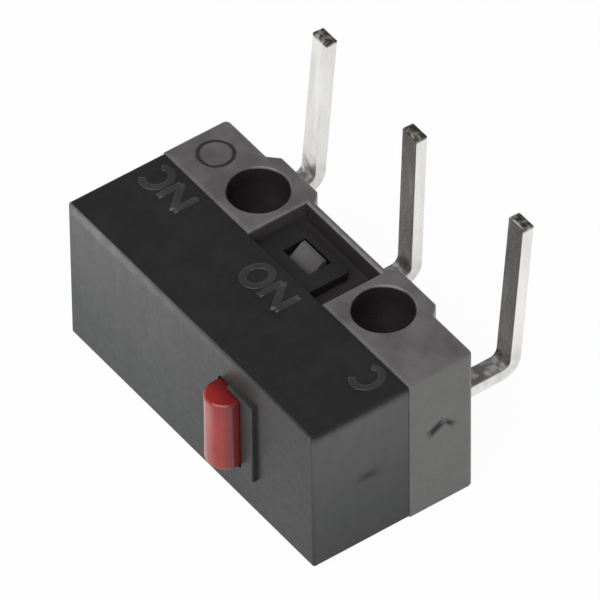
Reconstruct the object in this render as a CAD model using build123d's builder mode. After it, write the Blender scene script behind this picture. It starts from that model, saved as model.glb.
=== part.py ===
from build123d import *
from math import radians, tan
import os

# Subminiature pin-plunger snap-action switch with right-angle terminals, lying on a
# wide face. X runs along the case, the plunger faces -Y, the terminals leave at +Y and
# turn up, and +Z follows the two mounting holes. The origin is midway between those
# holes on the lower wide face. Millimetres.

# ---- driving sizes ------------------------------------------------------------------
# Case: the base holds the terminals, and the cover snaps over its spigot
CASE_THICKNESS = 5.8
HOLE_PITCH = 6.5
HOLE_DIAMETER = 2.0
LAND_TO_SPLIT = 0.35  # what is left of the base between a hole and each face beside it
LAND_TO_BACK = 0.1
LAND_TO_POCKET = 0.32
SPIGOT_HEIGHT = 0.65
FOOT_HEIGHT = 0.35
FOOT_SIDE = 0.1
FOOT_OVER_POCKET = 0.15
FOOT_TAPER = 0.35
END_ROOM = 0.32
COVER_WALL = 0.6
COVER_STEP = 0.08  # the cover's wide faces lie this far inside the base's
COVER_FIT = 0.05
COVER_RADIUS = 0.1
SPLIT_CHAMFER = 0.03
CORNER_RADIUS = 0.2
EDGE_RADIUS = 0.12
HOLE_CHAMFER = 0.06

# Snap on each wide face: a tongue of the cover lies in a pocket of the base, and a
# ramped nub of the base stands in its window
POCKET_RIM = 0.25
SNAP_X = -0.3
SNAP_FIT = 0.12
NUB_WIDTH = 1.1
NUB_LENGTH = 0.65
NUB_CREST = 0.12
NUB_RISE = 0.42
NUB_TO_HOLES = 0.02
TONGUE_SIDE = 0.65
TONGUE_END = 0.25
TONGUE_THICKNESS = 0.3

# Plunger, a little above mid-thickness, and the raised guard on one side of it
PLUNGER_X = 2.2
PLUNGER_OFFSET = 0.22
PLUNGER_WIDTH = 1.3
PLUNGER_SPAN = 2.8
PLUNGER_PROTRUSION = 0.92
PLUNGER_EDGE = 0.12
PLUNGER_FIT = 0.05
FLANGE_LIP = 0.4
FLANGE_THICKNESS = 0.4
LEG_WIDTH = 0.8
LEG_SPAN = 0.5
GUARD_SIDE = 0.62
GUARD_END = 0.2
GUARD_HEIGHT = 0.18
GUARD_EDGE = 0.05

# Terminals: flat leads that leave the back face and turn up past the wide face
TERMINAL_PITCH = 5.08
STOCK = 0.4
LEAD_WIDTH = 0.72
LEAD_REACH = 2.29
LEAD_TOP = 8.75
LEAD_BEND = 0.5
LEAD_TIP = 0.04
NC_LEAN = 5.2
NO_LEAN = 2.2
COM_LEAN = 4.9
INSERT_FIT = 0.01
ARM_WIDTH = 2.0

# Contacts, and the snap blade that carries the moving pair
CONTACT_INSET = 1.18  # contacts' distance from the normally closed lead
CONTACT_HEIGHT = 0.2
CONTACT_BAR = 0.4
CONTACT_SPAN = 1.5
FIXED_BAR = 0.8
CONTACT_CROWN = 0.1
CONTACT_GAP = 0.5
FREE_PLAY = 0.1
TOUCH = 0.02  # left open between faces that meet in use
ARM_ROOM = 0.18
ARM_PAST_CONTACT = 0.1
BLADE_THICKNESS = 0.08
BLADE_WIDTH = 3.0
BLADE_RAIL = 0.6
BLADE_PAST_CONTACT = 0.2
BLADE_PAST_POST = 0.3
STRIP_ROOT_X = -1.9
STRIP_WIDTH = 1.2
STRIP_SAG = 0.3
POST_WIDTH = 2.6
POST_TAB = 1.0
POST_RISE = 0.35
POST_FIT = 0.08
ANCHOR_X = 1.95
ANCHOR_WIDTH = 1.2
ANCHOR_RISE = 0.25
ANCHOR_ROOM = 0.5
NOTCH_DEPTH = 0.15
NOTCH_HALF = 0.2
NOTCH_DROP = 0.4
NOTCH_PLAY = 0.05

# ---- places worked out from them ----------------------------------------------------
mid_z = CASE_THICKNESS / 2
cavity_length = 2 * (TERMINAL_PITCH + STOCK + END_ROOM)
case_length = cavity_length + 2 * COVER_WALL
half_length = case_length / 2
contact_x = CONTACT_INSET - TERMINAL_PITCH
split_y = -HOLE_DIAMETER / 2 - LAND_TO_SPLIT
back_y = HOLE_DIAMETER / 2 + LAND_TO_BACK
pocket_width = HOLE_PITCH - HOLE_DIAMETER - 2 * LAND_TO_POCKET
spigot_y = split_y - SPIGOT_HEIGHT
plate_y = spigot_y - STOCK
no_face_y = plate_y - CONTACT_HEIGHT
blade_under_y = no_face_y - TOUCH - CONTACT_GAP - CONTACT_HEIGHT
blade_y = blade_under_y - BLADE_THICKNESS
nc_face_y = blade_y - CONTACT_HEIGHT - TOUCH
arm_under_y = nc_face_y - CONTACT_HEIGHT
arm_y = arm_under_y - STOCK
cavity_y = arm_y - ARM_ROOM
front_y = cavity_y - COVER_WALL
plunger_z = mid_z + PLUNGER_OFFSET

cavity_thickness = CASE_THICKNESS - 2 * (COVER_STEP + COVER_WALL)
spigot_length = cavity_length - 2 * COVER_FIT
spigot_thickness = cavity_thickness - 2 * COVER_FIT
pocket_depth = (CASE_THICKNESS - spigot_thickness) / 2
parts = []


def keep(piece, name):
    """Labels a finished piece and lists it for export."""
    piece.part.label = name
    parts.append(piece.part)


# ---- base: bosses round the holes, feet, pockets, spigot and snap nubs --------------
foot_inner = pocket_width / 2 - FOOT_OVER_POCKET
foot_outer = (HOLE_PITCH + HOLE_DIAMETER) / 2 + FOOT_SIDE
foot_y = back_y + FOOT_HEIGHT

with BuildPart() as base:
    with BuildSketch() as outline:
        with BuildLine():
            Polyline(
                (0, split_y),
                (half_length, split_y),
                (half_length, back_y),
                (foot_outer, back_y),
                (foot_outer - FOOT_TAPER, foot_y),
                (foot_inner + FOOT_TAPER, foot_y),
                (foot_inner, back_y),
                (0, back_y),
                close=True,
            )
        make_face()
        mirror(about=Plane.YZ)
        fillet(outline.vertices().group_by(Axis.X)[0].sort_by(Axis.Y)[-1], CORNER_RADIUS)
        fillet(outline.vertices().group_by(Axis.X)[-1].sort_by(Axis.Y)[-1], CORNER_RADIUS)
        fillet(outline.vertices().group_by(Axis.Y)[-1], EDGE_RADIUS)
    extrude(amount=CASE_THICKNESS)
    # a pocket in each wide face leaves a rim along the back and opens to the cover
    with BuildSketch(Plane.XY, Plane.XY.offset(CASE_THICKNESS - pocket_depth)):
        with Locations((0, split_y)):
            Rectangle(
                pocket_width,
                back_y - POCKET_RIM - split_y,
                align=(Align.CENTER, Align.MIN),
            )
    extrude(amount=pocket_depth, mode=Mode.SUBTRACT)
    fillet(base.faces().sort_by(Axis.Z)[0].edges(), EDGE_RADIUS)
    fillet(base.faces().sort_by(Axis.Z)[-1].edges(), EDGE_RADIUS)
    with BuildSketch(Plane.XZ.offset(-split_y)):
        with Locations((0, mid_z)):
            Rectangle(spigot_length, spigot_thickness)
    extrude(amount=SPIGOT_HEIGHT)
    # each nub ramps up towards the back and ends in a square catch
    for side in (-1, 1):
        floor_z = mid_z + side * spigot_thickness / 2
        crest_z = floor_z + side * NUB_RISE
        with BuildSketch(Plane.YZ.offset(SNAP_X)):
            with BuildLine():
                Polyline(
                    (NUB_TO_HOLES - NUB_LENGTH, floor_z),
                    (NUB_TO_HOLES - NUB_CREST, crest_z),
                    (NUB_TO_HOLES, crest_z),
                    (NUB_TO_HOLES, floor_z),
                    close=True,
                )
            make_face()
        extrude(amount=NUB_WIDTH / 2, both=True)
    # mounting holes right through, with broken edges
    with BuildSketch():
        with GridLocations(HOLE_PITCH, 0, 2, 1):
            Circle(HOLE_DIAMETER / 2)
    extrude(amount=CASE_THICKNESS, mode=Mode.SUBTRACT)
    chamfer(base.edges().filter_by(GeomType.CIRCLE).filter_by(
        lambda edge: abs(edge.radius - HOLE_DIAMETER / 2) < 1e-6), HOLE_CHAMFER)
    # the leads are moulded in along Y
    with BuildSketch(Plane.XZ.offset(-spigot_y)):
        with Locations((0, mid_z)):
            with GridLocations(TERMINAL_PITCH, 0, 3, 1):
                Rectangle(LEAD_WIDTH + 2 * INSERT_FIT, STOCK + 2 * INSERT_FIT)
    extrude(amount=spigot_y - foot_y, mode=Mode.SUBTRACT)
keep(base, "base")

# ---- cover: a five-sided shell with the plunger's guard and slot and two snap tongues
guard_length = PLUNGER_WIDTH / 2 + GUARD_SIDE
guard_span = PLUNGER_SPAN + 2 * GUARD_END
window_width = NUB_WIDTH + 2 * SNAP_FIT
window_start_y = NUB_TO_HOLES - NUB_LENGTH - SNAP_FIT
window_end_y = NUB_TO_HOLES + SNAP_FIT
tongue_width = window_width + 2 * TONGUE_SIDE
tongue_end_y = window_end_y + TONGUE_END

with BuildPart() as cover:
    with BuildSketch(Plane.XZ.offset(-split_y)):
        with Locations((0, mid_z)):
            Rectangle(case_length, CASE_THICKNESS - 2 * COVER_STEP)
    extrude(amount=split_y - front_y)
    fillet(cover.edges().filter_by(Axis.Y), COVER_RADIUS)
    fillet(cover.faces().sort_by(Axis.Y)[0].edges(), COVER_RADIUS)
    chamfer(cover.faces().sort_by(Axis.Y)[-1].edges(), SPLIT_CHAMFER)
    with BuildSketch(Plane.XZ.offset(-front_y)):
        with Locations((PLUNGER_X, plunger_z)):
            Rectangle(guard_length, guard_span, align=(Align.MIN, Align.CENTER))
    extrude(amount=GUARD_HEIGHT)
    fillet(cover.faces().sort_by(Axis.Y)[0].edges(), GUARD_EDGE)
    with BuildSketch(Plane.XZ.offset(-split_y)):
        with Locations((0, mid_z)):
            Rectangle(cavity_length, cavity_thickness)
    extrude(amount=split_y - cavity_y, mode=Mode.SUBTRACT)
    # the tongues carry on from the wide walls, one step lower
    for side in (-1, 1):
        wall_z = mid_z + side * cavity_thickness / 2
        with BuildSketch(Plane.XY.offset(wall_z)) as tongue:
            with Locations((SNAP_X, cavity_y)):
                Rectangle(tongue_width, tongue_end_y - cavity_y, align=(Align.CENTER, Align.MIN))
            fillet(tongue.vertices().group_by(Axis.Y)[-1], CORNER_RADIUS)
        extrude(amount=side * TONGUE_THICKNESS)
        with BuildSketch(Plane.XY.offset(wall_z)):
            with Locations((SNAP_X, window_end_y)):
                Rectangle(window_width, window_end_y - window_start_y, align=(Align.CENTER, Align.MAX))
        extrude(amount=side * TONGUE_THICKNESS, mode=Mode.SUBTRACT)
    with BuildSketch(Plane.XZ.offset(-cavity_y)):
        with Locations((PLUNGER_X, plunger_z)):
            RectangleRounded(
                PLUNGER_WIDTH + 2 * PLUNGER_FIT, PLUNGER_SPAN + 2 * PLUNGER_FIT, PLUNGER_EDGE)
    extrude(amount=COVER_WALL + GUARD_HEIGHT, mode=Mode.SUBTRACT)
keep(cover, "cover")

# ---- plunger: round-nosed bar, flange behind the wall and two legs on the blade -----
flange_y = cavity_y + TOUCH
leg_y = blade_y - FREE_PLAY - TOUCH
nose_y = front_y - PLUNGER_PROTRUSION + PLUNGER_WIDTH / 2
half_width = PLUNGER_WIDTH / 2
leg_offset = BLADE_WIDTH - BLADE_RAIL

with BuildPart() as plunger:
    with BuildSketch(Plane.XY.offset(plunger_z)):
        with BuildLine():
            Line((PLUNGER_X - half_width, flange_y), (PLUNGER_X - half_width, nose_y))
            ThreePointArc(
                (PLUNGER_X - half_width, nose_y),
                (PLUNGER_X, nose_y - half_width),
                (PLUNGER_X + half_width, nose_y),
            )
            Line((PLUNGER_X + half_width, nose_y), (PLUNGER_X + half_width, flange_y))
            Line((PLUNGER_X + half_width, flange_y), (PLUNGER_X - half_width, flange_y))
        make_face()
    extrude(amount=PLUNGER_SPAN / 2, both=True)
    end_faces = plunger.faces().filter_by(Axis.Z)
    fillet(end_faces.edges().filter_by(lambda edge: edge.center().Y < flange_y - TOUCH), PLUNGER_EDGE)
    with BuildSketch(Plane.XZ.offset(-flange_y)):
        with Locations((PLUNGER_X, plunger_z)):
            Rectangle(PLUNGER_WIDTH + 2 * FLANGE_LIP, PLUNGER_SPAN + 2 * FLANGE_LIP)
    extrude(amount=-FLANGE_THICKNESS)
    with BuildSketch(Plane.XZ.offset(-flange_y - FLANGE_THICKNESS)):
        with Locations((PLUNGER_X, mid_z)):
            with GridLocations(0, leg_offset, 1, 2):
                Rectangle(LEG_WIDTH, LEG_SPAN)
    extrude(amount=flange_y + FLANGE_THICKNESS - leg_y)
keep(plunger, "plunger")

# ---- terminals: a bent lead each, with its own inner end -----------------------------
def bent_lead(x, lean):
    """A lead from the spigot's top out of the back face, then up past the wide face."""
    upright_y = back_y + LEAD_REACH
    tip_y = upright_y + (LEAD_TOP - mid_z) * tan(radians(lean))
    with BuildPart() as lead:
        with BuildLine(Plane.YZ.offset(x)):
            FilletPolyline((spigot_y, mid_z), (upright_y, mid_z), (tip_y, LEAD_TOP), radius=LEAD_BEND)
        with BuildSketch(Plane.XZ.offset(-spigot_y)):
            with Locations((x, mid_z)):
                Rectangle(LEAD_WIDTH, STOCK)
        sweep()
        chamfer(lead.faces().sort_by(Axis.Z)[-1].edges(), LEAD_TIP)
    return lead.part


nc_lead = bent_lead(-TERMINAL_PITCH, NC_LEAN)
no_lead = bent_lead(0, NO_LEAN)
com_lead = bent_lead(TERMINAL_PITCH, COM_LEAN)

# normally closed: up beside the blade's free end and back over it
nc_outer_x = -TERMINAL_PITCH - STOCK
with BuildPart() as nc_terminal:
    with BuildSketch(Plane.XY.offset(mid_z)) as hook:
        with BuildLine():
            Polyline(
                (nc_outer_x, spigot_y),
                (nc_outer_x + STOCK / 2 + LEAD_WIDTH, spigot_y),
                (nc_outer_x + STOCK / 2 + LEAD_WIDTH, plate_y),
                (nc_outer_x + STOCK, plate_y),
                (nc_outer_x + STOCK, arm_under_y),
                (contact_x + FIXED_BAR / 2 + ARM_PAST_CONTACT, arm_under_y),
                (contact_x + FIXED_BAR / 2 + ARM_PAST_CONTACT, arm_y),
                (nc_outer_x, arm_y),
                close=True,
            )
        make_face()
        fillet(hook.vertices().group_by(Axis.X)[0].sort_by(Axis.Y)[0], STOCK / 2)
    extrude(amount=ARM_WIDTH / 2, both=True)
    add(nc_lead)
keep(nc_terminal, "nc_terminal")

# normally open: a plate on the spigot that reaches under the blade's free end
no_reach = LEAD_WIDTH / 2 - contact_x + FIXED_BAR / 2
with BuildPart() as no_terminal:
    with BuildSketch(Plane.XZ.offset(-spigot_y)) as plate:
        with Locations((LEAD_WIDTH / 2, mid_z)):
            Rectangle(no_reach, ARM_WIDTH, align=(Align.MAX, Align.CENTER))
        fillet(plate.vertices().group_by(Axis.X)[0], STOCK / 2)
    extrude(amount=STOCK)
    add(no_lead)
keep(no_terminal, "no_terminal")

# common: a bar with the blade's post at one end and the strip's notched anchor at the other
post_outer_x = TERMINAL_PITCH + STOCK / 2
notch_y = blade_under_y + NOTCH_DROP
with BuildPart() as com_terminal:
    with BuildSketch(Plane.XY.offset(mid_z)):
        with Locations((ANCHOR_X, spigot_y)):
            Rectangle(post_outer_x - ANCHOR_X, STOCK, align=(Align.MIN, Align.MAX))
    extrude(amount=ARM_WIDTH / 2, both=True)
    with BuildSketch(Plane.YZ.offset(post_outer_x)):
        with Locations((spigot_y, mid_z)):
            Rectangle(spigot_y - blade_under_y - TOUCH, POST_WIDTH, align=(Align.MAX, Align.CENTER))
            Rectangle(spigot_y - blade_y + POST_RISE, POST_TAB, align=(Align.MAX, Align.CENTER))
    extrude(amount=-STOCK)
    with BuildSketch(Plane.XY.offset(mid_z)):
        with BuildLine():
            Polyline(
                (ANCHOR_X, spigot_y),
                (ANCHOR_X + STOCK, spigot_y),
                (ANCHOR_X + STOCK, notch_y - ANCHOR_RISE),
                (ANCHOR_X, notch_y - ANCHOR_RISE),
                (ANCHOR_X, notch_y - NOTCH_HALF),
                (ANCHOR_X + NOTCH_DEPTH, notch_y),
                (ANCHOR_X, notch_y + NOTCH_HALF),
                close=True,
            )
        make_face()
    extrude(amount=ANCHOR_WIDTH / 2, both=True)
    add(com_lead)
keep(com_terminal, "com_terminal")


# ---- contacts: four crowned crossbars, two fixed and two on the blade ----------------
def crossbar(name, seat_y, length, width, towards):
    """A bar at contact_x on the plane y = seat_y, crowned on the side it faces."""
    with BuildPart() as bar:
        with BuildSketch(Plane.XZ.offset(-seat_y)):
            with Locations((contact_x, mid_z)):
                Rectangle(length, width)
        extrude(amount=-towards * CONTACT_HEIGHT)
        crown = bar.faces().sort_by(Axis.Y, reverse=towards < 0)[-1]
        fillet(crown.edges().sort_by(SortBy.LENGTH)[-2:], CONTACT_CROWN)
    keep(bar, name)


crossbar("nc_contact", arm_under_y, FIXED_BAR, CONTACT_BAR, 1)
crossbar("no_contact", plate_y, FIXED_BAR, CONTACT_BAR, -1)
crossbar("moving_contact_nc", blade_y, CONTACT_BAR, CONTACT_SPAN, -1)
crossbar("moving_contact_no", blade_under_y, CONTACT_BAR, CONTACT_SPAN, 1)

# ---- snap blade: a sheet hooked on the post, its middle strip bowed into the notch ---
blade_end_x = contact_x - CONTACT_BAR / 2 - BLADE_PAST_CONTACT
strip_tip = (ANCHOR_X + NOTCH_DEPTH - NOTCH_PLAY, notch_y - BLADE_THICKNESS / 2)
strip_low = ((STRIP_ROOT_X + strip_tip[0]) / 2, (blade_y + strip_tip[1]) / 2 + STRIP_SAG)
thickness_step = Vector(0, BLADE_THICKNESS)

with BuildPart() as contact_spring:
    with BuildSketch(Plane.XZ.offset(-blade_y)) as sheet:
        with Locations((blade_end_x, mid_z)):
            Rectangle(
                post_outer_x + BLADE_PAST_POST - blade_end_x,
                BLADE_WIDTH,
                align=(Align.MIN, Align.CENTER),
            )
        fillet(sheet.vertices(), STOCK)
        with Locations((STRIP_ROOT_X, mid_z)):
            Rectangle(
                ANCHOR_X + STOCK + ANCHOR_ROOM - STRIP_ROOT_X,
                BLADE_WIDTH - 2 * BLADE_RAIL,
                align=(Align.MIN, Align.CENTER),
                mode=Mode.SUBTRACT,
            )
        with Locations((TERMINAL_PITCH, mid_z)):
            Rectangle(STOCK + 2 * POST_FIT, POST_TAB + 2 * POST_FIT, mode=Mode.SUBTRACT)
    extrude(amount=-BLADE_THICKNESS)
    with BuildSketch(Plane.XY.offset(mid_z)):
        with BuildLine():
            upper = ThreePointArc((STRIP_ROOT_X, blade_y), strip_low, strip_tip)
            lower = add(upper.moved(Location(thickness_step)))
            Line(upper @ 0, upper.position_at(0) + thickness_step)
            Line(upper @ 1, upper.position_at(1) + thickness_step)
        make_face()
    extrude(amount=STRIP_WIDTH / 2, both=True)
keep(contact_spring, "contact_spring")

os.makedirs("parts", exist_ok=True)
for piece in parts:
    export_step(piece, f"parts/{piece.label}.step")
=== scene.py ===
from math import cos, pi, radians, sin

import bmesh
import bpy
import numpy as np
from mathutils import Euler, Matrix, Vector


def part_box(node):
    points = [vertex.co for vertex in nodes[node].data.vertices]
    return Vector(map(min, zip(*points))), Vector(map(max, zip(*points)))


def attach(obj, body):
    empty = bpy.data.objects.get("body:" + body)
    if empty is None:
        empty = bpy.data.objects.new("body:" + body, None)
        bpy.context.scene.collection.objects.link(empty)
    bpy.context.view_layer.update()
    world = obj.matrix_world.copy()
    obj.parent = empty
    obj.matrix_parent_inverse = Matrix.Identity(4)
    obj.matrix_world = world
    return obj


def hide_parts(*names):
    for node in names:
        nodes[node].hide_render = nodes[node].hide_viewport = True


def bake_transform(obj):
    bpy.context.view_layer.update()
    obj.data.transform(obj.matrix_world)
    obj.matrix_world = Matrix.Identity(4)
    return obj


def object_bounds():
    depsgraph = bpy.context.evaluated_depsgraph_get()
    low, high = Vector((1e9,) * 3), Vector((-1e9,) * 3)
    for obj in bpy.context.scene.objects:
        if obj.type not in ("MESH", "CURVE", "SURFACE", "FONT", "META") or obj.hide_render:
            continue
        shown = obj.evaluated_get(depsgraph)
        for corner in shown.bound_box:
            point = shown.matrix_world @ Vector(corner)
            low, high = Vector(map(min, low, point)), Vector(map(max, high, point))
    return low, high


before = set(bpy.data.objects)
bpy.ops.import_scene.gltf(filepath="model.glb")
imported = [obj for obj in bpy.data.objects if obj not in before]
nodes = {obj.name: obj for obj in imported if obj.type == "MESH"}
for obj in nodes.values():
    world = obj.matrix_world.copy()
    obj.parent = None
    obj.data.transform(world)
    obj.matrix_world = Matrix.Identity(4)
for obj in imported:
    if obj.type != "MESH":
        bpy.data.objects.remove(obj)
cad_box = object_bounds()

MM = 0.001

# ---- cover ---------------------------------------------------------------------------
# The shell that closes the contact side: black glass-filled polyester, moulded in a
# spark-eroded tool, so its faces have a fine dull grain. Its tongues snap over the
# base's nubs.
COVER_BLACK = (0.0080, 0.0080, 0.0082, 1)
COVER_DUSTY = (0.0130, 0.0130, 0.0132, 1)
# painted reflection colours for the face round the plunger and the right end, and a painted highlight colour
COVER_REFLECTION_LOW = (0.092, 0.110, 0.101, 1)
COVER_REFLECTION_HIGH = (0.128, 0.121, 0.120, 1)
COVER_EDGE_HIGHLIGHT = (0.250, 0.247, 0.242, 1)
COVER_BRUISE = (0.008, 0.008, 0.008, 1)
BRUISE_MIDDLE = (6.4, -2.9, 2.89)
BRUISE_HALF = (0.2, 0.5, 0.22)
BRUISE_TURN = -5
BRUISE_ROUGH = 0.6
FRONT_DEPTH = 0.27
UPPER_EDGE_BAND = 0.36


def shade(tree, kind, inputs=(), **settings):
    """Adds one shader node: settings are its properties, inputs its sockets' values or sources."""
    made = tree.nodes.new("ShaderNode" + kind)
    for name, value in settings.items():
        setattr(made, name, value)
    for name, value in dict(inputs).items():
        if isinstance(value, bpy.types.NodeSocket):
            tree.links.new(value, made.inputs[name])
        else:
            made.inputs[name].default_value = value
    return made


def new_finish(name, **constants):
    """An empty material: its shader with these constants, and the piece's own place in millimetres."""
    material = bpy.data.materials.new(name)
    material.use_nodes = True
    tree = material.node_tree
    shader = tree.nodes["Principled BSDF"]
    for socket, value in constants.items():
        shader.inputs[socket.replace("_", " ")].default_value = value
    place = shade(tree, "TexCoord").outputs["Object"]
    millimetres = shade(tree, "VectorMath", {0: place, 3: 1 / MM}, operation="SCALE").outputs[0]
    return material, tree, shader, millimetres


def speckle(tree, where, scale, detail=3.0, roughness=0.55):
    """Fractal noise with that many grains per millimetre, from 0 to 1."""
    noise = {"Vector": where, "Scale": scale, "Detail": detail, "Roughness": roughness}
    return shade(tree, "TexNoise", noise).outputs["Fac"]


def span(tree, value, low, high, to_low, to_high):
    """The stretch low to high carried on to to_low to to_high, and held past its ends."""
    ends = {"From Min": low, "From Max": high, "To Min": to_low, "To Max": to_high}
    return shade(tree, "MapRange", {"Value": value, **ends}).outputs["Result"]


def blended(tree, share, first, second):
    """The colour that is first where share is 0 and second where it is 1."""
    mix = shade(tree, "Mix", {0: share, 6: first, 7: second}, data_type="RGBA")
    return mix.outputs[2]


def moulded_resin(name, dark, light, rough, grain, grain_depth):
    """A moulded plastic: slow patches between two near colours, and the grain of its tool.

    rough holds the lowest and highest roughness, grain is in grains per millimetre, and
    grain_depth is in millimetres.
    """
    material, tree, shader, where = new_finish(name, IOR=1.5)
    patches = span(tree, speckle(tree, where, 0.9, detail=5.0), 0.35, 0.65, 0, 1)
    fine = speckle(tree, where, grain, detail=2.0)
    tree.links.new(blended(tree, patches, dark, light), shader.inputs["Base Color"])
    tree.links.new(span(tree, speckle(tree, where, 3.0), 0.3, 0.7, *rough), shader.inputs["Roughness"])
    relief = shade(tree, "Bump", {"Height": fine, "Distance": grain_depth * MM, "Strength": 1.0})
    tree.links.new(relief.outputs["Normal"], shader.inputs["Normal"])
    return material, tree, shader, where


def product(tree, *shares):
    """The shares multiplied together."""
    whole = shares[0]
    for share in shares[1:]:
        whole = shade(tree, "Math", {0: whole, 1: share}, operation="MULTIPLY").outputs[0]
    return whole


def larger(tree, first, second):
    """The larger of two values at each point."""
    return shade(tree, "Math", {0: first, 1: second}, operation="MAXIMUM").outputs[0]


def lay_over(tree, shader, share, colour):
    """Paints a colour over the shader's own where share is 1."""
    below = shader.inputs["Base Color"].links[0].from_socket
    tree.links.new(blended(tree, share, below, colour), shader.inputs["Base Color"])


def box_share(tree, where, middle, half_sizes, turn=(0, 0, 0), soft=0.35):
    """1 in a turned box round middle, falling to 0 over the outer soft share of its half sizes."""
    place = {"Vector": where, "Location": middle, "Rotation": turn, "Scale": half_sizes}
    local = shade(tree, "Mapping", place, vector_type="TEXTURE").outputs[0]
    distance = shade(tree, "VectorMath", {0: local}, operation="ABSOLUTE").outputs[0]
    axes = shade(tree, "SeparateXYZ", {0: distance}).outputs
    widest = larger(tree, larger(tree, axes[0], axes[1]), axes[2])
    return span(tree, widest, 1, 1 - soft, 0, 1)


def roughen(tree, shader, share, rough):
    """Gives the surface another roughness where share is 1."""
    below = shader.inputs["Roughness"].links[0].from_socket
    mix = shade(tree, "Mix", {0: share, 2: below, 3: rough})
    tree.links.new(mix.outputs[0], shader.inputs["Roughness"])


def sink(tree, shader, share, depth):
    """Presses the surface in by depth millimetres where share is 1."""
    below = shader.inputs["Normal"].links[0].from_socket
    press = {"Height": share, "Distance": depth * MM, "Strength": 1.0, "Normal": below}
    tree.links.new(shade(tree, "Bump", press, invert=True).outputs["Normal"], shader.inputs["Normal"])


def dress(node, material):
    """Gives a CAD node its finish."""
    for holder in nodes[node].material_slots:
        holder.material = material


cover_finish, tree, shader, where = moulded_resin(
    "cover_grained_black", COVER_BLACK, COVER_DUSTY, rough=(0.36, 0.46), grain=9.0, grain_depth=0.007)
# painted reflection: the face round the plunger is painted paler towards its upper edge and its left end,
# and the right end towards its upper edge, in upright streaks, greener low down, as the table's reflection
# lights them
cover_low, cover_high = (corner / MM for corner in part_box("cover"))
x, y, z = shade(tree, "SeparateXYZ", {0: where}).outputs
on_front = span(tree, y, cover_low.y + FRONT_DEPTH, cover_low.y + FRONT_DEPTH - 0.05, 0, 1)
towards_left = span(tree, x, cover_high.x, cover_low.x + 2, 0, 0.8)
on_right = span(tree, x, cover_high.x - 0.08, cover_high.x - 0.03, 0, 1)
right_share = product(tree, on_right, span(tree, z, 0, 3.5, 0.2, 0.6))
sides = larger(tree, product(tree, on_front, towards_left), right_share)
towards_top = span(tree, z, 0, cover_high.z, 0.3, 1)
streaked = shade(tree, "VectorMath", {0: where, 1: (1, 1, 5)}, operation="DIVIDE").outputs[0]
streaks = span(tree, speckle(tree, streaked, 2.5, detail=4.0), 0.3, 0.7, 0.7, 1)
reflection_height = span(tree, z, 1.5, cover_high.z - 1, 0, 1)
painted_reflection = blended(tree, reflection_height, COVER_REFLECTION_LOW, COVER_REFLECTION_HIGH)
# a painted highlight: a pale line, broken in places, runs under the upper edge of the plunger's face
edge_band_from = cover_high.z - UPPER_EDGE_BAND
under_edge = span(tree, z, edge_band_from - 0.1, edge_band_from + 0.05, 0, 1)
line_breaks = span(tree, speckle(tree, where, 3.5), 0.4, 0.55, 0.5, 1)
highlight_line = product(tree, towards_left, under_edge, line_breaks, on_front)
painted_reflection = blended(tree, highlight_line, painted_reflection, COVER_EDGE_HIGHLIGHT)
lay_over(tree, shader, product(tree, sides, towards_top, streaks), painted_reflection)
# the painted reflection is taken back to plain black along the right end's upper edge, and a bump presses
# the surface in there so that the edge looks rounded
rounded = span(tree, z, edge_band_from, cover_high.z, 0, 1)
rounded = product(tree, rounded, rounded, on_right)
lay_over(tree, shader, rounded, COVER_BLACK)
sink(tree, shader, rounded, 0.5 * UPPER_EDGE_BAND)
# a dull dark bruise lies on the right end
bruise = box_share(tree, where, BRUISE_MIDDLE, BRUISE_HALF, turn=(radians(BRUISE_TURN), 0, 0), soft=0.9)
lay_over(tree, shader, bruise, COVER_BRUISE)
roughen(tree, shader, bruise, BRUISE_ROUGH)
dress("cover", cover_finish)

# ---- terminal marks ------------------------------------------------------------------
# NC, NO and C stand a hair proud of the cover beside their terminals, as letters cut into
# the tool leave them. They read from the terminals' side, and handling has polished them.
LETTER_HEIGHT = 0.98 * MM
LETTER_WIDTH = 0.82 * MM
LETTER_PITCH = 1.1 * MM
STROKE = 0.25 * MM
PROUD = 0.025 * MM
SUNK = 0.02 * MM
# each mark: its terminal, its letters, and how far aside of the lead and at what Y it stands,
# in millimetres
MARKS = (
    ("nc_terminal", "NC", 0, -2.15),
    ("no_terminal", "NO", 0.28, -2.2),
    ("com_terminal", "C", 0.19, -2.1),
)
MARK_DARK = (0.026, 0.026, 0.027, 1)
MARK_WORN = (0.042, 0.042, 0.043, 1)


def middle_x(node):
    """The X of the middle of a terminal's lead where it stands highest."""
    points = np.array([v.co for v in nodes[node].data.vertices])
    tip = points[points[:, 2] > points[:, 2].max() - MM]
    return (tip[:, 0].min() + tip[:, 0].max()) / 2


def letter_strokes(letter):
    """A letter's strokes in a box of one by one round its middle: lines, or an arc of its ellipse."""
    if letter == "N":
        corners = np.array([(-0.5, -0.5), (-0.5, 0.5), (0.5, -0.5), (0.5, 0.5)])
        return [np.linspace(corners[i], corners[i + 1], 6) for i in range(3)]
    opening = {"C": 0.85, "O": 0.0}[letter]
    angle = np.linspace(opening, 2 * pi - opening, 40)
    return [np.stack([np.cos(angle), np.sin(angle)], axis=1) / 2]


def bead(path, width, height, sunk, rings=10):
    """A moulded stroke along a flat path.

    An arch of that width and height, flat on top as the square root of a sine is, stands on each
    of its points with its foot sunk below the face. Each end closes on the middle of its section.
    """
    along = np.gradient(path, axis=0)
    along /= np.linalg.norm(along, axis=1, keepdims=True)
    across = np.stack([-along[:, 1], along[:, 0]], axis=1)
    angle = np.linspace(0, pi, rings)
    side = np.append(np.cos(angle), [-1, 1]) * width / 2
    lift = np.append(np.sqrt(np.sin(angle).clip(0)) * height, [-sunk, -sunk])
    ground = path[:, None, :] + across[:, None, :] * side[None, :, None]
    sections = np.concatenate([ground, np.broadcast_to(lift[None, :, None], (*ground.shape[:2], 1))], axis=2)
    caps = np.repeat(sections[[0, -1]].mean(axis=1, keepdims=True), sections.shape[1], axis=1)
    return np.concatenate([caps[:1], sections, caps[1:]])


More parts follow.
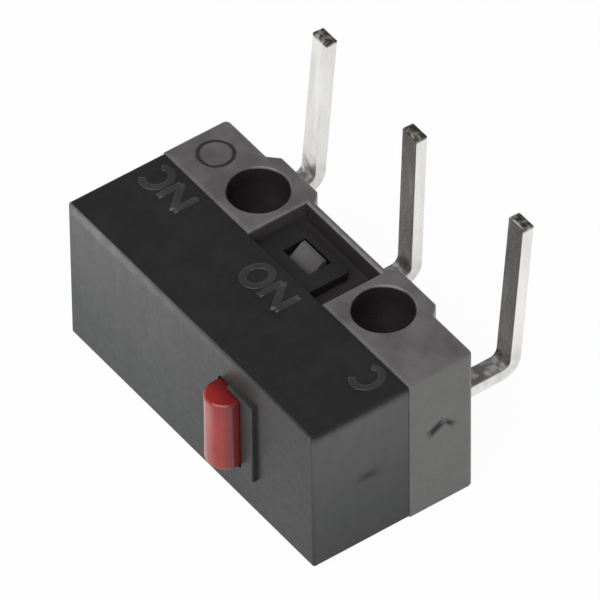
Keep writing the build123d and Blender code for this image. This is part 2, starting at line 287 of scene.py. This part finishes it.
def tube_faces(rows, columns):
    """The quads of rows of points, each row a closed loop of columns points."""
    row, column = np.meshgrid(np.arange(rows - 1), np.arange(columns), indexing="ij")
    after = (column + 1) % columns
    corners = [row * columns + column, row * columns + after]
    corners += [(row + 1) * columns + after, (row + 1) * columns + column]
    return np.stack(corners, axis=-1).reshape(-1, 4)


def new_piece(name, points, faces, material):
    """A closed piece in its place from points and quads, its doubles merged and its faces outwards."""
    mesh = bpy.data.meshes.new(name)
    mesh.from_pydata(points.reshape(-1, 3).tolist(), [], faces.tolist())
    tidy = bmesh.new()
    tidy.from_mesh(mesh)
    bmesh.ops.remove_doubles(tidy, verts=tidy.verts, dist=1e-4 * MM)
    bmesh.ops.recalc_face_normals(tidy, faces=tidy.faces)
    tidy.to_mesh(mesh)
    tidy.free()
    mesh.materials.append(material)
    piece = bpy.data.objects.new(name, mesh)
    bpy.context.scene.collection.objects.link(piece)
    return piece


mark_finish = moulded_resin(
    "mark_polished_black", MARK_DARK, MARK_WORN, rough=(0.30, 0.42), grain=12.0, grain_depth=0.003)[0]
cover_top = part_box("cover")[1].z
for node, label, aside, row in MARKS:
    points, faces, count = [], [], 0
    for place, letter in enumerate(label):
        shift = (place - (len(label) - 1) / 2) * LETTER_PITCH
        for stroke in letter_strokes(letter):
            flat = np.stack([
                middle_x(node) + aside * MM - shift - stroke[:, 0] * LETTER_WIDTH,
                row * MM - stroke[:, 1] * LETTER_HEIGHT,
            ], axis=1)
            solid = bead(flat, STROKE, PROUD, SUNK)
            faces.append(tube_faces(*solid.shape[:2]) + count)
            points.append(solid.reshape(-1, 3) + (0, 0, cover_top))
            count += len(points[-1])
    mark = new_piece(f"mark_{label.lower()}", np.concatenate(points), np.concatenate(faces),
                     mark_finish)
    for face in mark.data.polygons:
        face.use_smooth = True
    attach(mark, "case")

# ---- base ----------------------------------------------------------------------------
# The block with the mounting holes, moulded round the terminals: dark warm grey polyester
# from a polished tool, so it is smoother than the cover. A plain witness ring lies on its
# upper face, and a torn gate on its end.
BASE_GREY = (0.094, 0.087, 0.090, 1)
BASE_PALE = (0.150, 0.138, 0.141, 1)
# a painted shade colour, also the witness ring's own dark
BASE_SHADE_AND_RING_DARK = (0.024, 0.018, 0.020, 1)
BASE_END_REFLECTION = (0.116, 0.117, 0.113, 1)
BASE_EDGE_HIGHLIGHT = (0.205, 0.196, 0.196, 1)
NUB_GREY = (0.105, 0.103, 0.101, 1)
HOLE_PLACES = (-3.25, 3.25)
BORE_RADIUS = 1.01
# heights are from the block's middle, as it has a pocket and a nub on each wide face
POCKET_MIDDLE = (0, -0.25, 2.4)
POCKET_HALF = (1.96, 1.16, 0.45)
POCKET_EDGE_HALF = (2.02, 1.23, 0.7)
NUB_MIDDLE = (-0.3, -0.31, 2.4)
NUB_HALF = (0.58, 0.36, 0.25)
RING_MIDDLE = (-5.32, -0.12, 5.8)
RING_RADIUS = 0.57
RING_HALF_WIDTH = 0.11
GATE_MIDDLE = (6.4, -0.333, 3.37)
GATE_HALF = (0.2, 0.42, 0.2)
GATE_TURN = 30
TAIL_MIDDLE = (6.4, 0.16, 3.33)
TAIL_HALF = (0.2, 0.34, 0.11)
TAIL_TURN = -45
GATE_DARK = (0.012, 0.011, 0.012, 1)
POCKET_ROUGH = 0.6
GATE_ROUGH = 0.7
RING_DEPTH = 0.03
GATE_DEPTH = 0.06


def ring_share(tree, where, middle, radius, half_width):
    """1 on a circle round middle in the X-Y plane, falling to 0 at half_width to each side."""
    flat = 1000.0
    place = {"Vector": where, "Location": middle, "Scale": (radius, radius, flat)}
    local = shade(tree, "Mapping", place, vector_type="TEXTURE").outputs[0]
    reach = shade(tree, "VectorMath", {0: local}, operation="LENGTH").outputs["Value"]
    off = shade(tree, "Math", {0: reach, 1: 1.0}, operation="SUBTRACT").outputs[0]
    off = shade(tree, "Math", {0: off}, operation="ABSOLUTE").outputs[0]
    return span(tree, off, half_width / radius, half_width / radius / 3, 0, 1)


base_finish, tree, shader, where = moulded_resin(
    "base_smooth_grey", BASE_GREY, BASE_PALE, rough=(0.24, 0.34), grain=14.0, grain_depth=0.0013)
base_low, base_high = (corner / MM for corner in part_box("base"))
centred = shade(tree, "VectorMath", {0: where, 1: (0, 0, -(base_low.z + base_high.z) / 2)}).outputs[0]
x, y, z = shade(tree, "SeparateXYZ", {0: centred}).outputs
height = shade(tree, "Math", {0: z}, operation="ABSOLUTE").outputs[0]
either_face = shade(tree, "CombineXYZ", {0: x, 1: y, 2: height}).outputs[0]
# painted reflection: the right end is painted a paler, more neutral grey, as the table's reflection tints it
lay_over(tree, shader, span(tree, x, base_high.x - 0.06, base_high.x - 0.02, 0, 0.8), BASE_END_REFLECTION)
# painted highlight and painted shade: the pocket's edge is painted pale where it catches the light,
# and the pocket and the bores are painted dark where little light gets in
pocket_rim = box_share(tree, either_face, POCKET_MIDDLE, POCKET_EDGE_HALF, soft=0.04)
rim_breaks = span(tree, speckle(tree, where, 4.0), 0.3, 0.6, 0.4, 1)
lay_over(tree, shader, product(tree, pocket_rim, rim_breaks), BASE_EDGE_HIGHLIGHT)
# painted shade: the pocket's floor and walls are painted dark
pocket = box_share(tree, either_face, POCKET_MIDDLE, POCKET_HALF, soft=0.02)
lay_over(tree, shader, pocket, BASE_SHADE_AND_RING_DARK)
roughen(tree, shader, pocket, POCKET_ROUGH)
# the nub is painted back to a lit grey out of the pocket's painted shade, less so towards its right
nub = box_share(tree, either_face, NUB_MIDDLE, NUB_HALF, soft=0.05)
lay_over(tree, shader, product(tree, nub, span(tree, x, -0.6, 0.5, 0.9, 0.35)), NUB_GREY)
# painted shade: the bores' walls are painted dark, most near the faces
mouth = span(tree, height, -0.3, 2.3, 0, 1)
for hole_x in HOLE_PLACES:
    bore = shade(tree, "VectorMath", {0: where, 1: (hole_x, 0, 0)}, operation="SUBTRACT").outputs[0]
    flat = shade(tree, "VectorMath", {0: bore, 1: (1, 1, 0)}, operation="MULTIPLY").outputs[0]
    reach = shade(tree, "VectorMath", {0: flat}, operation="LENGTH").outputs["Value"]
    wall = span(tree, reach, BORE_RADIUS + 0.02, BORE_RADIUS, 0, 1)
    lay_over(tree, shader, product(tree, wall, mouth), BASE_SHADE_AND_RING_DARK)
ring = ring_share(tree, where, RING_MIDDLE, RING_RADIUS, RING_HALF_WIDTH)
ring = product(tree, ring, span(tree, z, 0, 1, 0, 1))
lay_over(tree, shader, ring, BASE_SHADE_AND_RING_DARK)
sink(tree, shader, ring, RING_DEPTH)
gate = box_share(tree, where, GATE_MIDDLE, GATE_HALF, turn=(radians(GATE_TURN), 0, 0), soft=0.6)
tail = box_share(tree, where, TAIL_MIDDLE, TAIL_HALF, turn=(radians(TAIL_TURN), 0, 0), soft=0.8)
torn = larger(tree, gate, tail)
lay_over(tree, shader, torn, GATE_DARK)
roughen(tree, shader, torn, GATE_ROUGH)
sink(tree, shader, torn, GATE_DEPTH)
dress("base", base_finish)

# ---- plunger -------------------------------------------------------------------------
# The red button: unfilled polyester from a polished tool, glossy, with the faint flow
# patches of its pigment.
PLUNGER_RED = (0.260, 0.0140, 0.0145, 1)
PLUNGER_BRIGHT = (0.350, 0.0230, 0.0220, 1)
# a painted highlight colour and a painted shade colour
PLUNGER_HIGHLIGHT = (0.43, 0.16, 0.14, 1)
PLUNGER_SHADE = (0.095, 0.0085, 0.0110, 1)
SHADE_FROM_WALL = 0.65
PLUNGER_INDEX = 1.58
SHADED_SIDE = (2.66, 2.86)
HIGHLIGHT_SIDE = (2.50, 2.25)
plunger_finish, tree, shader, where = moulded_resin(
    "plunger_glossy_red", PLUNGER_RED, PLUNGER_BRIGHT, rough=(0.12, 0.20), grain=10.0, grain_depth=0.0015)
shader.inputs["IOR"].default_value = PLUNGER_INDEX
# painted shade darkens the plunger's upper end along the slot and the side next to the guard,
# and a painted highlight makes the other side pale
x, y, z = shade(tree, "SeparateXYZ", {0: where}).outputs
by_slot = span(tree, y, cover_low.y + FRONT_DEPTH - SHADE_FROM_WALL, cover_low.y + 0.1, 0, 1)
lay_over(tree, shader, product(tree, by_slot, span(tree, z, 4.1, 4.5, 0, 1)), PLUNGER_SHADE)
lay_over(tree, shader, span(tree, x, *SHADED_SIDE, 0, 0.85), PLUNGER_SHADE)
# painted highlight: the open side is painted pale, more towards the top, stopping under the painted shade
highlight_side = span(tree, x, *HIGHLIGHT_SIDE, 0, 0.6)
more_above = span(tree, z, 1.7, 4.0, 0.5, 1)
below_top_shade = span(tree, z, 4.5, 4.35, 0, 1)
lay_over(tree, shader, product(tree, highlight_side, more_above, below_top_shade), PLUNGER_HIGHLIGHT)
dress("plunger", plunger_finish)

# ---- terminals -----------------------------------------------------------------------
# Three leads stamped from half-hard brass and silver plated: bright faces with fine
# rolling lines along the strip, and duller smears where the plating ran.
PLATED_BRIGHT = (0.94, 0.93, 0.91, 1)
PLATED_DULL = (0.86, 0.85, 0.83, 1)
PLATED_STAINED = (0.20, 0.19, 0.175, 1)
CUT_TIP = (0.085, 0.080, 0.060, 1)
STAIN_ROUGH = 0.5
CUT_ROUGH = 0.65
STAIN_ENDS = (4.1, 3.3)
LEAD_HALF_WIDTH = 0.36


def rolled_metal(name, bright, dull, rough, stretch, lines):
    """A rolled strip: smears between a bright and a dull colour, and fine lines along the strip.

    rough holds the lowest and highest roughness, stretch says how many times longer than wide the
    lines are on each axis, and lines is their number per millimetre.
    """
    material, tree, shader, where = new_finish(name, Metallic=1.0)
    drawn = shade(tree, "VectorMath", {0: where, 1: stretch}, operation="DIVIDE").outputs[0]
    smear = span(tree, speckle(tree, drawn, 1.6, detail=6.0, roughness=0.65), 0.36, 0.66, 0, 1)
    scratch = speckle(tree, drawn, lines, detail=3.0)
    tree.links.new(blended(tree, smear, bright, dull), shader.inputs["Base Color"])
    tree.links.new(span(tree, smear, 0, 1, *rough), shader.inputs["Roughness"])
    relief = shade(tree, "Bump", {"Height": scratch, "Distance": 0.004 * MM, "Strength": 1.0})
    tree.links.new(relief.outputs["Normal"], shader.inputs["Normal"])
    return material, tree, shader, where


plated_finish, tree, shader, where = rolled_metal(
    "terminal_plated", PLATED_BRIGHT, PLATED_DULL, (0.18, 0.46), (1, 1, 5), 7.0)
# outside the case the plating is stained to past the bend, with little stain painted on the leads'
# right-hand sides, which catch the light, and the cut tips are bare and dirty
x, y, height = shade(tree, "SeparateXYZ", {0: where}).outputs
pitch = (middle_x("com_terminal") - middle_x("no_terminal")) / MM
from_lead = shade(tree, "Math", {0: x, 1: pitch / 2, 2: -pitch / 2}, operation="WRAP").outputs[0]
less_on_right = span(tree, from_lead, LEAD_HALF_WIDTH - 0.07, LEAD_HALF_WIDTH - 0.02, 1, 0.25)
outside = span(tree, y, base_high.y - 0.4, base_high.y - 0.2, 0, 1)
stained = span(tree, speckle(tree, where, 3.0), 0.40, 0.58, 0.15, 0.9)
stains = product(tree, span(tree, height, *STAIN_ENDS, 0, 1), stained, less_on_right, outside)
lay_over(tree, shader, stains, PLATED_STAINED)
roughen(tree, shader, stains, STAIN_ROUGH)
lead_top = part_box("com_terminal")[1].z / MM
torn = span(tree, speckle(tree, where, 5.0), 0.36, 0.56, 0.45, 1)
cut = product(tree, span(tree, height, lead_top - 0.20, lead_top - 0.09, 0, 1), torn)
lay_over(tree, shader, cut, CUT_TIP)
roughen(tree, shader, cut, CUT_ROUGH)
for node in ("nc_terminal", "no_terminal", "com_terminal"):
    dress(node, plated_finish)

# ---- contacts ------------------------------------------------------------------------
# Crossbars of gold alloy, cut from profiled wire and welded on: polished, with a duller
# film in patches.
GOLD_ALLOY = (0.83, 0.66, 0.32, 1)
GOLD_FILM = (0.66, 0.50, 0.25, 1)
gold_finish = rolled_metal("contact_gold", GOLD_ALLOY, GOLD_FILM, (0.18, 0.36), (3, 1, 1), 12.0)[0]
for node in ("nc_contact", "no_contact", "moving_contact_nc", "moving_contact_no"):
    dress(node, gold_finish)

# ---- snap blade ----------------------------------------------------------------------
# One sheet of copper alloy spring stock: two rails hooked on the common terminal's post,
# and between them a strip bowed into its notch.
BLADE_COPPER = (0.70, 0.44, 0.27, 1)
BLADE_DARK = (0.46, 0.27, 0.16, 1)
BLADE_THICKNESS = 0.08 * MM
CORNER = 0.4 * MM
RAIL = 0.6 * MM
STRIP_HALF = 0.6 * MM
STRIP_ROOT = -1.9 * MM
STRIP_TIP = 2.05 * MM
STRIP_DROP = 0.44 * MM
STRIP_SAG = 0.28 * MM
WINDOW_END = 2.85 * MM
SLOT_HALF_X = 0.28 * MM
SLOT_HALF_Z = 0.58 * MM
RAIL_BEND = (4.7 * MM, 2.45 * MM)
STRIP_BEND = (1.9 * MM, -1.5 * MM)

spring_low, spring_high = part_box("contact_spring")
blade_mid_z = (spring_low.z + spring_high.z) / 2
blade_half = (spring_high.z - spring_low.z) / 2
blade_y = spring_low.y
post_x = middle_x("com_terminal")
copper_finish = rolled_metal("blade_copper", BLADE_COPPER, BLADE_DARK, (0.24, 0.40), (5, 1, 1), 10.0)[0]


def blade_sheet():
    """One layer of the flat sheet, as points and quads: stations along X by rows across Z.

    The two outer rows draw in at each corner along its circle, and no face lies over the window
    or over the post's slot.
    """
    ends = CORNER * (1 - np.cos(np.linspace(0, pi / 2, 7)))
    slot = [post_x - SLOT_HALF_X, post_x + SLOT_HALF_X]
    straight = np.linspace(spring_low.x + CORNER, spring_high.x - CORNER, 60)
    along = np.concatenate([
        spring_low.x + ends, straight, spring_high.x - ends, slot, [STRIP_ROOT, WINDOW_END]])
    along = np.unique(np.round(along, 8))
    reach = np.minimum(along - spring_low.x, spring_high.x - along).clip(0, CORNER)
    outer = blade_half - CORNER + np.sqrt(CORNER**2 - (CORNER - reach) ** 2)
    upper = np.stack([outer, np.full_like(outer, blade_half - RAIL), np.full_like(outer, SLOT_HALF_Z)])
    rows = np.concatenate([upper, -upper[::-1]])
    x = np.broadcast_to(along, rows.shape)
    points = np.stack([x, np.full_like(x, blade_y), blade_mid_z + rows], axis=-1)
    row, column = np.meshgrid(np.arange(len(rows) - 1), np.arange(len(along) - 1), indexing="ij")
    middle = (along[:-1] + along[1:])[column] / 2
    in_window = (middle > STRIP_ROOT) & (middle < WINDOW_END) & (row >= 1) & (row <= 3)
    in_slot = (abs(middle - post_x) < SLOT_HALF_X) & (row == 2)
    first = (row * len(along) + column)[~(in_window | in_slot)]
    return points, np.stack([first, first + 1, first + len(along) + 1, first + len(along)], axis=1)


def bowed_strip(stations=40):
    """The strip: a thin rectangle carried from the sheet to the notch along a parabola.

    The parabola is the straight line between its ends, and STRIP_SAG more at mid length. Each end
    closes on its section's middle.
    """
    share = np.linspace(0, 1, stations)[:, None]
    along = STRIP_ROOT + share * (STRIP_TIP - STRIP_ROOT)
    drop = blade_y + share * STRIP_DROP + 4 * STRIP_SAG * share * (1 - share)
    through = np.array([0, 0, 1, 1]) * BLADE_THICKNESS
    across = np.array([-1, 1, 1, -1]) * STRIP_HALF
    sections = np.stack(np.broadcast_arrays(along, drop + through, blade_mid_z + across), axis=-1)
    caps = np.repeat(sections[[0, -1]].mean(axis=1, keepdims=True), 4, axis=1)
    return np.concatenate([caps[:1], sections, caps[1:]])


sheet_points, sheet_quads = blade_sheet()
rails = new_piece("blade_rails", sheet_points, sheet_quads, copper_finish)
wall = rails.modifiers.new("thickness", "SOLIDIFY")
wall.thickness = BLADE_THICKNESS
wall.offset = 1 if rails.data.polygons[0].normal.y > 0 else -1
strip_points = bowed_strip()
strip_quads = tube_faces(*strip_points.shape[:2])
strip = new_piece("blade_strip", strip_points, strip_quads, copper_finish)
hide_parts("contact_spring")
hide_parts("contact_spring")
for piece, (still, moving) in ((rails, RAIL_BEND), (strip, STRIP_BEND)):
    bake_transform(piece)

# ---- camera, table and lights --------------------------------------------------------
# A long lens looks down on the switch from the plunger's right. The table runs on white
# past the view, and its shadow stays faint. The sky is white low down and dark overhead.
CAMERA_AZIMUTH = 54.325
CAMERA_ELEVATION = 44.853
CAMERA_ROLL = -0.692
CAMERA_DISTANCE = 386.58 * MM
CAMERA_LENS = 752.11
AIM_FROM_CASE_MIDDLE = Vector((-0.213, 1.214, 0.906)) * MM
TABLE_SIDE = 4.0
TABLE_GAP = 0.005 * MM
TABLE_PAINT = 0.88
TABLE_GLOW_SHARE = 0.96
TABLE_MIRROR_SHARE = 0.55
SKY_HORIZON = 0.95
SKY_SHOULDER = 0.25
SKY_OVERHEAD = 0.14
HORIZON_ENDS = 0.03
SHOULDER_AT = 0.50

case_low, case_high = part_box("cover")[0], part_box("base")[1]
case_low.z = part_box("base")[0].z
aim = (case_low + case_high) / 2 + AIM_FROM_CASE_MIDDLE
azimuth, elevation = radians(CAMERA_AZIMUTH), radians(CAMERA_ELEVATION)
back = Vector((sin(azimuth) * cos(elevation), -cos(azimuth) * cos(elevation), sin(elevation)))
view = bpy.data.cameras.new("camera")
view.lens = CAMERA_LENS
view.sensor_width = 36
camera = bpy.data.objects.new("camera", view)
camera.location = aim + back * CAMERA_DISTANCE
level = Euler((pi / 2 - elevation, 0, azimuth)).to_matrix()
camera.rotation_euler = (level @ Euler((0, 0, radians(CAMERA_ROLL))).to_matrix()).to_euler()
bpy.context.scene.collection.objects.link(camera)
bpy.context.scene.camera = camera
bpy.context.scene.view_settings.view_transform = "Standard"


def white_share(tree):
    """How far the table shows as plain white.

    It is most to the camera, less in a mirror or a lens, and none for light that only falls on things.
    """
    path = shade(tree, "LightPath").outputs
    share = product(tree, path["Is Camera Ray"], TABLE_GLOW_SHARE)
    for other in ("Is Glossy Ray", "Is Transmission Ray"):
        mirrored = product(tree, path[other], TABLE_MIRROR_SHARE)
        share = larger(tree, share, mirrored)
    return share


table_paint = bpy.data.materials.new("table_white")
table_paint.use_nodes = True
tree = table_paint.node_tree
tree.nodes.clear()
paint = shade(tree, "BsdfDiffuse", {"Color": (TABLE_PAINT, TABLE_PAINT, TABLE_PAINT, 1)})
glow = shade(tree, "Emission", {"Color": (1, 1, 1, 1), "Strength": 1.0})
mixed = shade(tree, "MixShader", {0: white_share(tree), 1: paint.outputs[0], 2: glow.outputs[0]})
shade(tree, "OutputMaterial", {"Surface": mixed.outputs[0]})
table_mesh = bpy.data.meshes.new("table")
side = TABLE_SIDE / 2
corners = [(-side, -side, 0), (side, -side, 0), (side, side, 0), (-side, side, 0)]
table_mesh.from_pydata(corners, [], [(0, 1, 2, 3)])
table_mesh.materials.append(table_paint)
table = bpy.data.objects.new("table", table_mesh)
table.location.z = cad_box[0].z - TABLE_GAP
bpy.context.scene.collection.objects.link(table)

world = bpy.data.worlds.new("studio")
bpy.context.scene.world = world
world.use_nodes = True
tree = world.node_tree
tree.nodes.clear()
direction = shade(tree, "TexCoord").outputs["Generated"]
height = shade(tree, "SeparateXYZ", {0: direction}).outputs["Z"]
sky = shade(tree, "ValToRGB", {"Fac": height})
stops = sky.color_ramp.elements
stops[0].position = HORIZON_ENDS
stops[0].color = (SKY_HORIZON, SKY_HORIZON, SKY_HORIZON, 1)
stops[1].position = 1.0
stops[1].color = (SKY_OVERHEAD, SKY_OVERHEAD, SKY_OVERHEAD, 1)
shoulder = stops.new(SHOULDER_AT)
shoulder.color = (SKY_SHOULDER, SKY_SHOULDER, SKY_SHOULDER, 1)
backdrop = shade(tree, "LightPath").outputs["Is Camera Ray"]
seen = blended(tree, backdrop, sky.outputs["Color"], (1, 1, 1, 1))
sky_light = shade(tree, "Background", {"Color": seen, "Strength": 1.0})
shade(tree, "OutputWorld", {"Surface": sky_light.outputs[0]})


def softbox(name, towards, power, width, distance=0.5):
    """A square area light at that distance from the switch, facing it."""
    lamp = bpy.data.lights.new(name, "AREA")
    lamp.energy = power
    lamp.size = width
    light = bpy.data.objects.new(name, lamp)
    towards = Vector(towards).normalized()
    light.location = aim + towards * distance
    light.rotation_euler = towards.to_track_quat("Z", "Y").to_euler()
    bpy.context.scene.collection.objects.link(light)


softbox("key", towards=(0.25, -0.54, 0.80), power=2.8, width=0.6)
